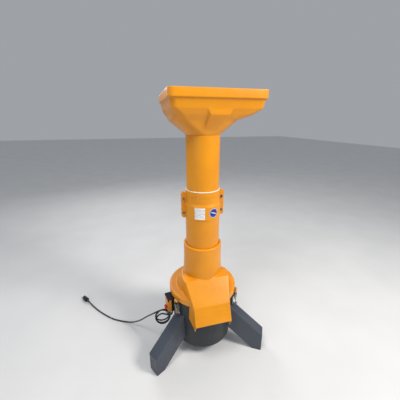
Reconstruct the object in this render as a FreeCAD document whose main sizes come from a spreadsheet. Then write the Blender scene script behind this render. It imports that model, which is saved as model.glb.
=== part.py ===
import FreeCAD, Part
import math
import os
import Sketcher
from FreeCAD import Placement, Rotation, Vector

# Upright electric fruit mill: tray hopper, feed tube, clamp collar, domed mill cover with a
# discharge chute, and a drum base on three legs that holds the motor.
# Row frame: +Z up, front is -Y, the floor is z = 0, millimetres.  Pieces are drawn about the
# tube axis, and every node is then moved back by axis_back, so that the origin is the middle
# of the footprint.

doc = FreeCAD.newDocument("FruitMill")

# ---------------------------------------------------------------- driving dimensions
SIZES = {
    # hopper, outside; the tube axis is off its middle
    "hopper_left": 170.0, "hopper_right": 251.0, "hopper_front": 135.0, "hopper_back": 257.0,
    "hopper_top": 1356.0, "rim_height": 36.0, "rim_step": 7.0, "rim_corner": 22.0,
    "rim_ledge": 5.0, "wall": 4.0, "wall_depth": 73.0, "wall_draft": 6.0,
    "bowl_drop": 24.0, "bowl_in": 9.0, "bowl_in_far": 32.0, "bowl_corner": 46.0,
    "funnel_drop": 120.0, "funnel_top": "=hopper_top - funnel_drop",
    "funnel_in_side": 26.0, "funnel_half": "=hopper_left - funnel_in_side",
    "funnel_in_front": 35.0, "funnel_front": "=hopper_front - funnel_in_front",
    "funnel_in_back": 107.0, "funnel_back": "=hopper_back - funnel_in_back",
    "funnel_corner": 62.0, "hopper_height": 181.0, "neck_base": "=hopper_top - hopper_height",
    "neck_step": 1.0, "neck_outer": "=upper_tube_outer - neck_step", "spigot_length": 32.0,
    "dip_mid": 42.0, "dip_half_top": 56.0, "dip_half": 43.0, "dip_drop": 98.0,
    "dip_base": "=hopper_top - dip_drop", "dip_foot": 24.0,
    # feed tubes; the lower one starts in the cover's sleeve and takes the upper one
    "upper_tube_outer": 80.0, "tube_slip": 2.3,
    "lower_tube_outer": "=upper_tube_outer + tube_slip + wall", "tube_rise": 38.0,
    "lower_tube_base": "=boss_top + tube_rise", "lower_tube_length": 378.0,
    "lower_tube_top": "=lower_tube_base + lower_tube_length", "tube_overlap": 56.0,
    "upper_tube_base": "=lower_tube_top - tube_overlap",
    # clamp collar, about the top of the lower tube
    "collar_drop": 74.0, "collar_base": "=lower_tube_top - collar_drop",
    "collar_rise": 62.0, "collar_top": "=lower_tube_top + collar_rise",
    "collar_thick": 3.2, "collar_outer": "=lower_tube_outer + collar_thick",
    "collar_neck_thick": 4.6, "collar_neck": "=upper_tube_outer + collar_neck_thick",
    "shoulder_drop": 8.0, "shoulder_low": "=lower_tube_top - shoulder_drop",
    "shoulder_rise": 4.0, "shoulder_high": "=lower_tube_top + shoulder_rise",
    "groove_rise": 30.0, "groove_low": "=lower_tube_top + groove_rise",
    "groove_width": 3.0, "groove_pitch": 8.0, "groove_depth": 1.2,
    "ear_width": 19.0, "ear_reach": "=collar_outer + ear_width",
    "ear_drop": 5.0, "ear_base": "=collar_base - ear_drop",
    "ear_inset": 10.0, "ear_top": "=collar_top - ear_inset",
    "ear_thick": 8.0, "ear_corner": 12.0, "clamp_gap": 0.5,
    "bolt_inset": 11.0, "clamp_bolt_x": "=ear_reach - bolt_inset",
    "bolt_rise": 25.0, "clamp_bolt_low": "=ear_base + bolt_rise",
    "bolt_drop": 35.0, "clamp_bolt_high": "=ear_top - bolt_drop",
    "clamp_bolt": 3.0, "bolt_fit": 0.3, "clamp_hole": "=clamp_bolt + bolt_fit",
    "ring_wire": 2.0, "label_thick": 0.6, "label_rise": 6.0, "label_height": 58.0,
    "label_low": "=collar_base + label_rise", "label_high": "=label_low + label_height",
    "badge_radius": 24.0, "badge_mid": "=label_low + label_height / 2",
    # mill cover, about the drum's mouth
    "sleeve_height": 189.0, "sleeve_top": "=boss_top + sleeve_height", "sleeve_gap": 8.9,
    "sleeve_outer": "=lower_tube_outer + sleeve_gap + wall", "sleeve_flare": 5.8,
    "sleeve_foot": "=sleeve_outer + sleeve_flare", "bend_rise": 110.0,
    "sleeve_bend": "=boss_top + bend_rise", "sleeve_lip": 8.0, "tube_fit": 0.3,
    "skirt_gap": 3.2, "dome_outer": "=drum_mouth + skirt_gap + wall", "dome_rise": 18.2,
    "dome_edge": "=drum_top + dome_rise", "boss_shoulder": 14.0,
    "boss_head": "=sleeve_foot + boss_shoulder", "boss_lean": 24.0,
    "boss_foot": "=boss_head + boss_lean", "boss_height": 59.8,
    "boss_top": "=dome_edge + boss_height", "edge_round": 5.0, "boss_round": 13.0,
    "skirt_drop": 12.0, "skirt_base": "=drum_top - skirt_drop", "seat_thick": 10.0,
    "seat_width": 4.3, "seat_inner": "=lower_tube_outer - wall - seat_width",
    "brow_inset": 4.0, "brow_reach": "=sleeve_foot - brow_inset",
    "brow_rise": 22.0, "brow_height": "=boss_top + brow_rise",
    "ridge_stand": 8.8, "ridge_reach": "=dome_outer + ridge_stand",
    "ridge_rise": 7.0, "ridge_height": "=drum_top + ridge_rise",
    "lip_stand": 34.0, "lip_reach": "=ridge_reach + lip_stand",
    "lip_drop": 82.0, "lip_height": "=ridge_height - lip_drop",
    "cheek_inset": 21.0, "cheek_reach": "=lip_reach - cheek_inset",
    "cheek_drop": 45.0, "cheek_height": "=lip_height - cheek_drop",
    "cheek_slope": 20.0, "cheek_root": "=cheek_height + cheek_slope",
    "chute_half_top": 124.0, "chute_half": 93.0, "chute_straight": 70.0, "chute_back": 28.0,
    "mouth_margin": 42.0, "mouth_low": "=cheek_height - mouth_margin",
    "drum_fit": 0.6, "cover_ledge": 6.0,
    "nub_stand": 13.8, "nub_reach": "=dome_outer + nub_stand", "nub_half": 10.0,
    "nub_height": 12.0,
    # base drum
    "drum_base": 70.0, "drum_top": 362.0, "drum_foot": 160.0, "drum_mouth": 176.0,
    "drum_wall": 5.0, "seal_thick": 3.0, "floor_drop": 62.0,
    "floor_top": "=drum_top - floor_drop", "floor_thick": 4.0, "ledge_width": 7.0,
    "ledge_inner": "=drum_foot - drum_wall - ledge_width", "ledge_thick": 10.0,
    "notch_inset": 9.0, "notch_half": "=chute_half - notch_inset",
    "bottom_plate_thick": 4.0, "vent_radius": 7.0, "vent_inset": 48.0,
    "vent_ring": "=drum_foot - vent_inset",
    # legs
    "leg_reach": 353.0, "leg_width": 63.0, "toe_height": 107.0, "toe_length": 53.0,
    "toe_inner": "=leg_reach - toe_length", "leg_drop": 99.0, "leg_top": "=drum_top - leg_drop",
    "leg_root": "=drum_foot", "under_rise": 43.0, "leg_under": "=drum_base + under_rise",
    "leg_wall": 5.0, "pad_height": 6.0, "leg_bolt": 4.0, "leg_bolt_rise": 37.0,
    "leg_bolt_low": "=leg_under + leg_bolt_rise", "leg_bolt_drop": 48.0,
    "leg_bolt_high": "=leg_top - leg_bolt_drop", "left_leg_turn": 210.0,
    "right_leg_turn": 330.0, "rear_leg_turn": 90.0,
    # motor and cutter
    "shaft_radius": 12.0, "shaft_fit": 0.05, "stub_step": 4.0,
    "stub_radius": "=shaft_radius - stub_step", "motor_rise": 70.0,
    "motor_base": "=drum_base + motor_rise", "shaft_drop": 40.0,
    "shaft_base": "=motor_base - shaft_drop", "shaft_stub": 34.0,
    "shaft_top": "=disc_base + shaft_stub", "motor_outer": 74.0, "motor_wall": 6.0,
    "motor_flange_width": 21.0, "motor_flange": "=motor_outer + motor_flange_width",
    "flange_thick": 8.0, "bearing_depth": 14.0, "bearing_outer": "=shaft_radius + bearing_depth",
    "bearing_width": 14.0, "seal_depth": 8.0, "seal_outer": "=shaft_radius + seal_depth",
    "seal_width": 10.0, "web_thick": 40.0, "cap_step": 2.0,
    "cap_outer": "=motor_outer + cap_step", "cap_height": 18.0,
    "cap_base": "=motor_base - cap_height", "fan_space": 48.0,
    "fan_cover_base": "=motor_base - fan_space", "fan_inset": 12.0,
    "fan_outer": "=motor_outer - fan_inset", "stator_inner": 40.0, "air_gap": 0.5,
    "core_rise": 25.0, "core_base": "=motor_base + core_rise", "core_drop": 55.0,
    "core_top": "=floor_top - core_drop", "motor_bolt": 4.0, "motor_bolt_out": 10.0,
    "motor_bolt_ring": "=motor_outer + motor_bolt_out", "disc_gap": 10.0,
    "disc_outer": "=drum_foot - disc_gap", "disc_rise": 12.0,
    "disc_base": "=floor_top + disc_rise", "disc_thick": 5.0, "hub_outer": 30.0,
    "knife_height": 22.0, "knife_thick": 4.0, "knife_in": 22.0,
    "knife_ring": "=disc_outer - knife_in", "blade_half": 16.0, "blade_in": 46.0,
    "blade_reach": "=disc_outer - blade_in",
    # latches
    "pivot_drop": 40.0, "pivot_height": "=drum_top - pivot_drop", "pad_stand": 1.5,
    "pad_face": "=drum_mouth + pad_stand", "pad_drop": 58.0,
    "pad_low": "=pivot_height - pad_drop", "pad_rise": 16.0,
    "pad_high": "=pivot_height + pad_rise", "plate_thick": 2.0, "plate_margin": 5.0,
    "plate_half": "=lever_half + plate_margin", "pad_margin": 4.0,
    "pad_half": "=plate_half + pad_margin", "pivot_stand": 11.5,
    "pivot_reach": "=pad_face + pivot_stand", "pin_radius": 2.5, "pin_fit": 0.05,
    "ear_round": 9.0, "lever_half": 8.0, "side_fit": 0.3, "cheek_thick": 2.0, "arm": 14.0,
    "bail_wire": 2.0, "bail_gap": 0.06, "handle_length": 56.0,
    "handle_low": "=pivot_height - handle_length",
    # switch
    "switch_turn": 9.0, "switch_half": 29.0, "switch_drop": 24.0,
    "switch_high": "=drum_top - switch_drop", "switch_height": 82.0,
    "switch_low": "=switch_high - switch_height", "switch_stand": 1.0,
    "switch_pad_face": "=drum_mouth + switch_stand", "switch_depth": 15.0,
    "switch_face": "=switch_pad_face + switch_depth", "flap_depth": 20.0,
    "flap_reach": "=switch_face + flap_depth", "hood_stand": 1.0,
    "hood_reach": "=flap_reach + hood_stand", "hood_thick": 5.0, "flap_inset": 2.0,
    "flap_half": "=switch_half - flap_inset", "flap_rise": 4.0,
    "flap_low": "=switch_low + flap_rise", "flap_drop": 7.0,
    "flap_high": "=switch_high - flap_drop", "flap_wall": 2.5, "hinge_inset": 2.0,
    "hinge_reach": "=flap_reach - hinge_inset", "hinge_drop": 3.5,
    "hinge_height": "=flap_high - hinge_drop", "hinge_pin": 1.5, "knob_rise": 13.0,
    "knob_height": "=flap_low + knob_rise", "knob_radius": 13.5, "knob_stem": 5.0,
    "knob_gap": 4.0, "knob_thick": 9.0, "button_radius": 7.0, "button_stand": 6.0,
    "button_pitch": 33.0, "start_height": "=knob_height + button_pitch", "gland_in": 5.0,
    "gland_reach": "=switch_pad_face + gland_in", "gland_top": 6.5, "gland_tip": 4.6,
    "gland_length": 26.0,
    # lead
    "cord_radius": 4.0, "hank_left": 266.0, "hank_right": 197.0, "hank_low": 138.0,
    "hank_high": 236.0, "hank_depth": 22.0, "hank_back": 18.0, "hank_corner": 33.0,
    "plug_radius": 14.0, "plug_length": 36.0, "plug_relief": 22.0, "plug_turn": 128.0,
    "pin_length": 19.0, "pin_spread": 9.5, "plug_pin": 2.4,
}

sheet = doc.addObject("Spreadsheet::Sheet", "Dims")
for row, name in enumerate(SIZES, start=1):
    sheet.set(f"A{row}", name)
    sheet.setAlias(f"B{row}", name)
for row, value in enumerate(SIZES.values(), start=1):
    sheet.set(f"B{row}", str(value))
doc.recompute()
VALUES = {name: float(sheet.get(name)) for name in SIZES}


class Size:
    """A dimension as its number and as the sheet expression that gives that number."""

    def __init__(self, value, text):
        self.value = value
        self.text = text

    def join(self, other, sign, value):
        return Size(value, f"({self.text} {sign} {sized(other).text})")

    def __add__(self, other):
        return self.join(other, "+", self.value + sized(other).value)

    def __sub__(self, other):
        return self.join(other, "-", self.value - sized(other).value)

    def __mul__(self, other):
        return self.join(other, "*", self.value * sized(other).value)

    def __truediv__(self, other):
        return self.join(other, "/", self.value / sized(other).value)

    def __neg__(self):
        return Size(-self.value, f"(0 - {self.text})")


def sized(number):
    return number if isinstance(number, Size) else Size(float(number), str(float(number)))


class Sheet:
    """Gives each alias of the sheet as a Size."""

    def __getattr__(self, name):
        return Size(VALUES[name], f"Dims.{name}")


d = Sheet()
NODES = {}


def bind(item, prop, size):
    size = sized(size)
    item.setExpression(prop, size.text)


def place(item, x=0, y=0, z=0, turn=None, axis=Vector(0, 0, 1)):
    """Set a Placement from sizes: a turn about an axis, then a move."""
    angle = sized(0 if turn is None else turn)
    base = Vector(sized(x).value, sized(y).value, sized(z).value)
    item.Placement = Placement(base, Rotation(axis, angle.value))
    for prop, size in (("x", x), ("y", y), ("z", z)):
        if isinstance(size, Size):
            bind(item, f"Placement.Base.{prop}", size)
    if isinstance(turn, Size):
        bind(item, "Placement.Rotation.Angle", turn)
    return item


# ---------------------------------------------------------------- sketches and solids
def trace(sketch, corners):
    """Draw a closed outline.  A corner is (u, v), or (u, v, radius) when the side that leaves
    it is an arc, with its centre on the left for a positive radius."""
    points = [(sized(c[0]), sized(c[1]), sized(c[2]) if len(c) > 2 else None) for c in corners]
    ends = []
    rules = []
    bound = []
    for i, (u, v, radius) in enumerate(points):
        far = points[(i + 1) % len(points)]
        start = Vector(u.value, v.value, 0)
        stop = Vector(far[0].value, far[1].value, 0)
        if radius is None:
            index = sketch.addGeometry(Part.LineSegment(start, stop), False)
            ends.append((index, 1, 2))
            continue
        along = stop - start
        left = Vector(-along.y, along.x, 0).normalize()
        rise = math.sqrt(max(radius.value ** 2 - (along.Length / 2) ** 2, 0))
        side = 1 if radius.value > 0 else -1
        centre = (start + stop) * 0.5 + left * rise * side
        first, last = (start, stop) if side > 0 else (stop, start)
        turn = [math.atan2(p.y - centre.y, p.x - centre.x) for p in (first, last)]
        circle = Part.Circle(centre, Vector(0, 0, 1), abs(radius.value))
        index = sketch.addGeometry(Part.ArcOfCircle(circle, turn[0], turn[1]), False)
        ends.append((index, 1, 2) if side > 0 else (index, 2, 1))
        rules.append(Sketcher.Constraint("Radius", index, abs(radius.value)))
        bound.append((len(rules) - 1, radius if side > 0 else -radius))
    for i, (index, start, _) in enumerate(ends):
        before = ends[i - 1]
        rules.append(Sketcher.Constraint("Coincident", before[0], before[2], index, start))
        for kind, axis, size in (("DistanceX", -2, points[i][0]), ("DistanceY", -1, points[i][1])):
            if size.value == 0:
                rules.append(Sketcher.Constraint("PointOnObject", index, start, axis))
                continue
            rules.append(Sketcher.Constraint(kind, -1, 1, index, start, size.value))
            bound.append((len(rules) - 1, size))
    sketch.addConstraint(rules)
    for index, size in bound:
        bind(sketch, f"Constraints[{index}]", size)


def sketch_in(body, role, corners, lift=0):
    sketch = body.newObject("Sketcher::SketchObject", "Outline")
    plane = [f for f in body.Origin.OriginFeatures if f.Role == role][0]
    sketch.AttachmentSupport = (plane, [""])
    sketch.MapMode = "FlatFace"
    if sized(lift).value:
        sketch.AttachmentOffset = Placement(Vector(0, 0, sized(lift).value), Rotation())
        bind(sketch, "AttachmentOffset.Base.z", lift)
    trace(sketch, corners)
    return sketch


def turned(label, corners):
    """A body of revolution about Z from an (r, z) outline."""
    body = doc.addObject("PartDesign::Body", label)
    sketch = sketch_in(body, "XZ_Plane", corners)
    spin = body.newObject("PartDesign::Revolution", "Revolution")
    spin.Profile = sketch
    spin.ReferenceAxis = (sketch, ["V_Axis"])
    spin.Angle = 360
    return body


def padded(label, role, corners, length, lift=None):
    """A pad of an outline: centred on its plane, or from a height above it."""
    body = doc.addObject("PartDesign::Body", label)
    sketch = sketch_in(body, role, corners, 0 if lift is None else lift)
    pad = body.newObject("PartDesign::Pad", "Pad")
    pad.Profile = sketch
    pad.SideType = "Symmetric" if lift is None else "One side"
    pad.Length = sized(length).value
    bind(pad, "Length", length)
    return body


def box(x0, x1, y0, y1, z0, z1, label="Block"):
    item = doc.addObject("Part::Box", label)
    for prop, low, high in (("Length", x0, x1), ("Width", y0, y1), ("Height", z0, z1)):
        span = sized(high) - low
        setattr(item, prop, span.value)
        bind(item, prop, span)
    return place(item, x0, y0, z0)


AXES = {
    "X": Rotation(Vector(0, 1, 0), 90),
    "Y": Rotation(Vector(1, 0, 0), -90),
    "Z": Rotation(),
}


def rod(radius, length, x, y, z, along="Z", label="Rod"):
    """A cylinder that starts at a point and runs along a positive axis."""
    item = doc.addObject("Part::Cylinder", label)
    item.Radius = sized(radius).value
    item.Height = sized(length).value
    bind(item, "Radius", radius)
    bind(item, "Height", length)
    base = Vector(sized(x).value, sized(y).value, sized(z).value)
    item.Placement = Placement(base, AXES[along])
    for prop, size in (("x", x), ("y", y), ("z", z)):
        bind(item, f"Placement.Base.{prop}", size)
    return item


def fuse(items, label="Fusion"):
    if len(items) == 1:
        return items[0]
    item = doc.addObject("Part::MultiFuse", label)
    item.Shapes = items
    item.Refine = True
    return item


def cut(base, tools, label="Cut"):
    item = doc.addObject("Part::Cut", label)
    item.Base = base
    item.Tool = fuse(tools)
    item.Refine = True
    return item


def common(items, label="Common"):
    item = doc.addObject("Part::MultiCommon", label)
    item.Shapes = items
    return item


def group(items, label="Group"):
    item = doc.addObject("Part::Compound", label)
    item.Links = items
    return item


def about_axis(items, turn, label="Turned"):
    """Items drawn on the +X side, turned together about the tube axis."""
    return place(group(items, label), turn=turn)


def rounded(base, radius, pick):
    """Fillet the edges that pick accepts."""
    doc.recompute()
    edges = [i for i, edge in enumerate(base.Shape.Edges, start=1) if pick(edge)]
    item = doc.addObject("Part::Fillet", "Rounding")
    item.Base = base
    item.Edges = [(i, sized(radius).value, sized(radius).value) for i in edges]
    return item


axis_back = (d.lip_reach - d.leg_reach) / 2


def node(label, item, turn=None):
    """Name a finished piece and stand it on the tube axis, turned to its place."""
    item.Label = label
    place(item, y=axis_back, turn=turn)
    NODES[label] = item
    return item


def loft(sections, label="Loft"):
    """A solid through level outlines, each given as (height, corners)."""
    sketches = []
    for height, corners in sections:
        sketch = doc.addObject("Sketcher::SketchObject", "Section")
        place(sketch, z=height)
        trace(sketch, corners)
        sketches.append(sketch)
    item = doc.addObject("Part::Loft", label)
    item.Sections = sketches
    item.Solid = True
    item.Ruled = True
    return item


def round_box(left, right, front, back, corner):
    """Outline of a rectangle with rounded corners, as eight sides from the front left."""
    return [
        (left + corner, front), (right - corner, front, corner), (right, front + corner),
        (right, back - corner, corner), (right - corner, back), (left + corner, back, corner),
        (left, back - corner), (left, front + corner, corner),
    ]


def round_eight(radius, flat=8):
    """A circle as eight arcs that pair with the sides of round_box."""
    spots = []
    for middle in (-90, 0, 90, 180):
        for side in (-flat, flat):
            angle = math.radians(middle + side)
            spots.append((radius * math.cos(angle), radius * math.sin(angle), radius))
    return spots


# ---------------------------------------------------------------- hopper
def tray_sections(inset, top, foot):
    """Level outlines of the tray, its bowl and its funnel, moved in by a wall thickness."""
    left = d.rim_step - d.hopper_left + inset
    right = d.hopper_right - d.rim_step - inset
    front = d.rim_step - d.hopper_front + inset
    back = d.hopper_back - d.rim_step - inset
    draft = d.wall_draft
    low = d.hopper_top - d.wall_depth
    near = d.wall_draft + d.bowl_in
    far = d.wall_draft + d.bowl_in_far
    half = d.funnel_half - inset
    return [
        (top, round_box(left, right, front, back, d.rim_corner)),
        (low, round_box(left + draft, right - draft, front + draft, back - draft,
                        d.rim_corner)),
        (low - d.bowl_drop + inset / 2, round_box(left + near, right - far, front + near,
                                                  back - far, d.bowl_corner)),
        (d.funnel_top + inset, round_box(-half, half, inset - d.funnel_front,
                                         d.funnel_back - inset, d.funnel_corner)),
        (foot, round_eight(d.neck_outer - inset)),
    ]


def dip_sections(inset, head):
    """The dip in the front wall and the flat panel that runs from it to the neck."""
    front = d.rim_step - d.hopper_front + d.wall_draft + inset
    foot_front = d.neck_outer - inset
    back = sized(-30)
    top = [(d.dip_mid - d.dip_half_top + inset, front), (d.dip_mid + d.dip_half_top - inset, front),
           (d.dip_mid + d.dip_half_top - inset, back), (d.dip_mid - d.dip_half_top + inset, back)]
    low = [(d.dip_mid - d.dip_half + inset, front + 1), (d.dip_mid + d.dip_half - inset, front + 1),
           (d.dip_mid + d.dip_half - inset, back), (d.dip_mid - d.dip_half + inset, back)]
    foot = [(inset - d.dip_foot, 4 - foot_front.value), (d.dip_foot - inset, 4 - foot_front.value),
            (d.dip_foot - inset, back), (inset - d.dip_foot, back)]
    return [(head, top), (d.dip_base + inset, low), (d.neck_base + 2, foot)]


rim_low = d.hopper_top - d.rim_height
rim = padded("Rim", "XY_Plane", round_box(-d.hopper_left, d.hopper_right, -d.hopper_front,
                                          d.hopper_back, d.rim_corner),
             d.rim_height, rim_low)
rim_inside = padded("RimInside", "XY_Plane",
                    round_box(d.wall - d.hopper_left, d.hopper_right - d.wall,
                              d.wall - d.hopper_front, d.hopper_back - d.wall, d.rim_corner - 3),
                    d.rim_height, rim_low + d.rim_ledge)
tray = loft(tray_sections(sized(0), rim_low + 1, d.neck_base), "Tray")
tray_inside = loft(tray_sections(d.wall, rim_low + d.rim_ledge + 1, d.neck_base), "TrayInside")
dip = loft(dip_sections(sized(0), d.hopper_top - d.wall_depth + 2), "Dip")
dip_inside = loft(dip_sections(d.wall, d.hopper_top - d.wall_depth + 2), "DipInside")
spigot = rod(d.upper_tube_outer - d.wall - d.tube_fit, d.spigot_length + 1, 0, 0,
             d.neck_base - d.spigot_length, label="Spigot")
bore = rod(d.neck_outer - d.wall - d.wall, d.spigot_length + 8, 0, 0,
           d.neck_base - d.spigot_length - 4, label="NeckBore")
hopper_solid = fuse([rim, tray, dip, spigot], "HopperSolid")
node("hopper", cut(hopper_solid, [rim_inside, tray_inside, dip_inside, bore]))

# ---------------------------------------------------------------- feed tubes
node("upper_tube", turned("UpperTube", [
    (d.upper_tube_outer - d.wall, d.upper_tube_base), (d.upper_tube_outer, d.upper_tube_base),
    (d.upper_tube_outer, d.neck_base), (d.upper_tube_outer - d.wall, d.neck_base)]))
node("lower_tube", turned("LowerTube", [
    (d.lower_tube_outer - d.wall, d.lower_tube_base), (d.lower_tube_outer, d.lower_tube_base),
    (d.lower_tube_outer, d.lower_tube_top), (d.lower_tube_outer - d.wall, d.lower_tube_top)]))

ring = doc.addObject("Part::Torus", "RingWire")
bind(ring, "Radius1", d.upper_tube_outer + d.ring_wire)
bind(ring, "Radius2", d.ring_wire)
place(ring, z=d.collar_top + d.ring_wire)
node("seal_ring", group([ring]))

# ---------------------------------------------------------------- clamp collar
groove_low = [d.groove_low, d.groove_low + d.groove_pitch]
collar_outline = [
    (d.lower_tube_outer, d.collar_base), (d.collar_outer, d.collar_base),
    (d.collar_outer, d.shoulder_low), (d.collar_neck, d.shoulder_high)]
for low in groove_low:
    collar_outline += [
        (d.collar_neck, low), (d.collar_neck - d.groove_depth, low + 1),
        (d.collar_neck - d.groove_depth, low + d.groove_width - 1),
        (d.collar_neck, low + d.groove_width)]
collar_outline += [
    (d.collar_neck, d.collar_top), (d.upper_tube_outer, d.collar_top),
    (d.upper_tube_outer, d.lower_tube_top), (d.lower_tube_outer, d.lower_tube_top)]


def ear(side, near, far):
    """One ear of a clamp half, with its outer corners rounded."""
    inner = d.upper_tube_outer + 3
    reach = d.ear_reach
    corner = d.ear_corner
    if side > 0:
        outline = [(inner, d.ear_base), (reach - corner, d.ear_base, corner),
                   (reach, d.ear_base + corner), (reach, d.ear_top - 5, sized(5)),
                   (reach - 5, d.ear_top), (inner, d.ear_top)]
    else:
        outline = [(-inner, d.ear_top), (5 - reach.value, d.ear_top, sized(5)),
                   (-reach, d.ear_top - 5), (-reach, d.ear_base + corner, corner),
                   (corner - reach, d.ear_base), (-inner, d.ear_base)]
    plate = padded("Ear", "XZ_Plane", outline, d.ear_reach * 2)
    return common([plate, box(-reach - 1, reach + 1, near, far, d.ear_base - 1, d.ear_top + 1)])


def clamp_half(label, sign):
    """Half of the collar, with a small gap at the parting plane for tightening."""
    near, far = d.clamp_gap, d.clamp_gap + d.ear_thick
    low, high = (near, far) if sign > 0 else (-far, -near)
    shell = turned("Collar", collar_outline)
    edge = d.collar_outer + 5
    y0, y1 = (near, edge) if sign > 0 else (-edge, -near)
    half = common([shell, box(-edge, edge, y0, y1, d.collar_base - 1, d.collar_top + 1)])
    solid = fuse([half, ear(1, low, high), ear(-1, low, high)])
    tools = [rod(d.lower_tube_outer, d.lower_tube_top - d.ear_base + 2, 0, 0, d.ear_base - 2),
             rod(d.upper_tube_outer, d.collar_top - d.lower_tube_top + 4, 0, 0,
                 d.lower_tube_top - 2)]
    for x in (d.clamp_bolt_x, -d.clamp_bolt_x):
        for z in (d.clamp_bolt_low, d.clamp_bolt_high):
            tools.append(rod(d.clamp_hole, d.ear_reach, x, -d.ear_reach / 2, z, "Y"))
    node(label, cut(solid, tools))


clamp_half("clamp_front", -1)
clamp_half("clamp_rear", 1)

clamp_face = d.clamp_gap + d.ear_thick
bolts = []
nuts = []
for x in (d.clamp_bolt_x, -d.clamp_bolt_x):
    for z in (d.clamp_bolt_low, d.clamp_bolt_high):
        bolts.append(fuse([
            rod(d.clamp_bolt + 4, 1.2, x, -clamp_face - 1.2, z, "Y"),
            rod(d.clamp_bolt + 2, 4.0, x, -clamp_face - 5, z, "Y"),
            rod(d.clamp_bolt, clamp_face * 2 + 14, x, -clamp_face - 4, z, "Y")]))
        nuts.append(cut(fuse([rod(d.clamp_bolt + 4, 1.2, x, clamp_face, z, "Y"),
                              rod(d.clamp_bolt + 2, 6.0, x, clamp_face, z, "Y")]),
                        [rod(d.clamp_bolt, 12, x, clamp_face - 2, z, "Y")]))
node("clamp_bolts", group(bolts))
node("clamp_nuts", group(nuts))


def curved_plate(label, middle, outline_solid):
    """A thin plate bent round the collar, cut to an outline."""
    skin = turned("Skin", [
        (d.collar_outer, d.label_low), (d.collar_outer + d.label_thick, d.label_low),
        (d.collar_outer + d.label_thick, d.label_high), (d.collar_outer, d.label_high)])
    node(label, common([skin, outline_solid]), turn=middle)


label_half = sized(25)
curved_plate("rating_plate", sized(-113.5),
             box(60, 100, -label_half, label_half, d.label_low, d.label_high))
curved_plate("round_badge", sized(-68.5),
             rod(d.badge_radius, 40, 60, 0, d.badge_mid, "X"))

# ---------------------------------------------------------------- mill cover
sleeve_inner = d.sleeve_outer - d.wall
tube_hole = d.lower_tube_outer + d.tube_fit
cover_outer = turned("CoverOuter", [
    (0, d.skirt_base), (d.dome_outer, d.skirt_base), (d.dome_outer, d.dome_edge),
    (d.boss_foot, d.dome_edge), (d.boss_head, d.boss_top), (d.sleeve_foot, d.boss_top + 2),
    (d.sleeve_outer, d.sleeve_bend), (d.sleeve_outer, d.sleeve_top), (0, d.sleeve_top)])
cover_inner = turned("CoverInner", [
    (0, d.skirt_base - 10), (d.dome_outer - d.wall, d.skirt_base - 10),
    (d.dome_outer - d.wall, d.dome_edge - d.wall), (d.boss_foot - d.wall, d.dome_edge - d.wall),
    (d.boss_head - d.wall, d.boss_top - d.wall), (d.sleeve_foot - d.wall, d.boss_top - d.wall),
    (sleeve_inner, d.sleeve_bend), (sleeve_inner, d.sleeve_top - d.sleeve_lip),
    (tube_hole, d.sleeve_top - d.sleeve_lip), (tube_hole, d.sleeve_top + 10),
    (0, d.sleeve_top + 10)])
lean = (d.drum_mouth - d.drum_foot) / (d.drum_top - d.drum_base)


def drum_radius(z):
    return d.drum_foot + lean * (sized(z) - d.drum_base)


def drum_core(gap, low, high):
    """The drum's outer cone as a solid, larger by a gap."""
    return turned("DrumCore", [(0, low), (drum_radius(low) + gap, low),
                               (drum_radius(high) + gap, high), (0, high)])


front_slope = (d.lip_reach - d.ridge_reach) / (d.ridge_height - d.lip_height)
chute_side = padded("ChuteSide", "YZ_Plane", [
    (0, d.boss_top), (-d.chute_back, d.brow_height), (-d.brow_reach, d.brow_height),
    (-d.ridge_reach, d.ridge_height), (-d.lip_reach, d.lip_height), (-d.cheek_reach, d.cheek_height),
    (30 - d.drum_foot.value, d.cheek_root), (30 - d.drum_foot.value, d.skirt_base),
    (0, d.skirt_base)], d.chute_half_top * 2 + 10)


def chute_plan(inset, low):
    """Seen from above, the chute narrows from the boss to the ridge."""
    wide = d.chute_half_top - inset
    slim = d.chute_half - inset
    return padded("ChutePlan", "XY_Plane", [
        (-wide, 0), (-wide, -d.chute_straight), (-slim, -d.ridge_reach),
        (1 - slim.value, -d.ridge_reach - 100), (slim - 1, -d.ridge_reach - 100),
        (slim, -d.ridge_reach), (wide, -d.chute_straight), (wide, 0)],
        d.brow_height - low + 10, low)


chute_outer = cut(common([chute_side, chute_plan(sized(0), d.cheek_height - 12)]),
                  [drum_core(d.drum_fit, d.drum_base, d.drum_top)])
slip = d.wall + 0.6
inner_ridge_y = d.ridge_reach - d.wall
inner_ridge_z = d.ridge_height - d.wall + 1
chute_inner_side = padded("ChuteInnerSide", "YZ_Plane", [
    (-d.wall, d.boss_top - d.wall), (-d.chute_back - 1, d.brow_height - d.wall),
    (slip - d.brow_reach - 2, d.brow_height - d.wall),
    (-inner_ridge_y, inner_ridge_z),
    (-(inner_ridge_y + front_slope * (inner_ridge_z - d.mouth_low)), d.mouth_low),
    (-d.wall, d.mouth_low)], 300)
chute_inner = common([chute_inner_side, chute_plan(d.wall, d.mouth_low - 10)])


def is_near(value, target, slack=0.3):
    return abs(value - target) < slack


def round_edge(edge, reach, z):
    """A whole circular edge about the tube axis."""
    bound = edge.BoundBox
    return (is_near(bound.ZMin, z.value) and bound.ZLength < 0.1
            and is_near(edge.Curve.Radius if hasattr(edge.Curve, "Radius") else -1, reach.value))


def cover_edge(edge):
    return (round_edge(edge, d.sleeve_outer, d.sleeve_top)
            or round_edge(edge, d.dome_outer, d.dome_edge))


def chute_edge(edge):
    bound = edge.BoundBox
    ridge = (is_near(bound.YMin, -d.ridge_reach.value) and bound.YLength < 0.1
             and is_near(bound.ZMin, d.ridge_height.value) and bound.XLength > 100)
    side = (bound.XLength > 5 and bound.XLength < 60 and bound.YMax < -d.chute_straight.value + 1
            and bound.ZMin > d.skirt_base.value and bound.ZLength > 40)
    return ridge or side


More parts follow.
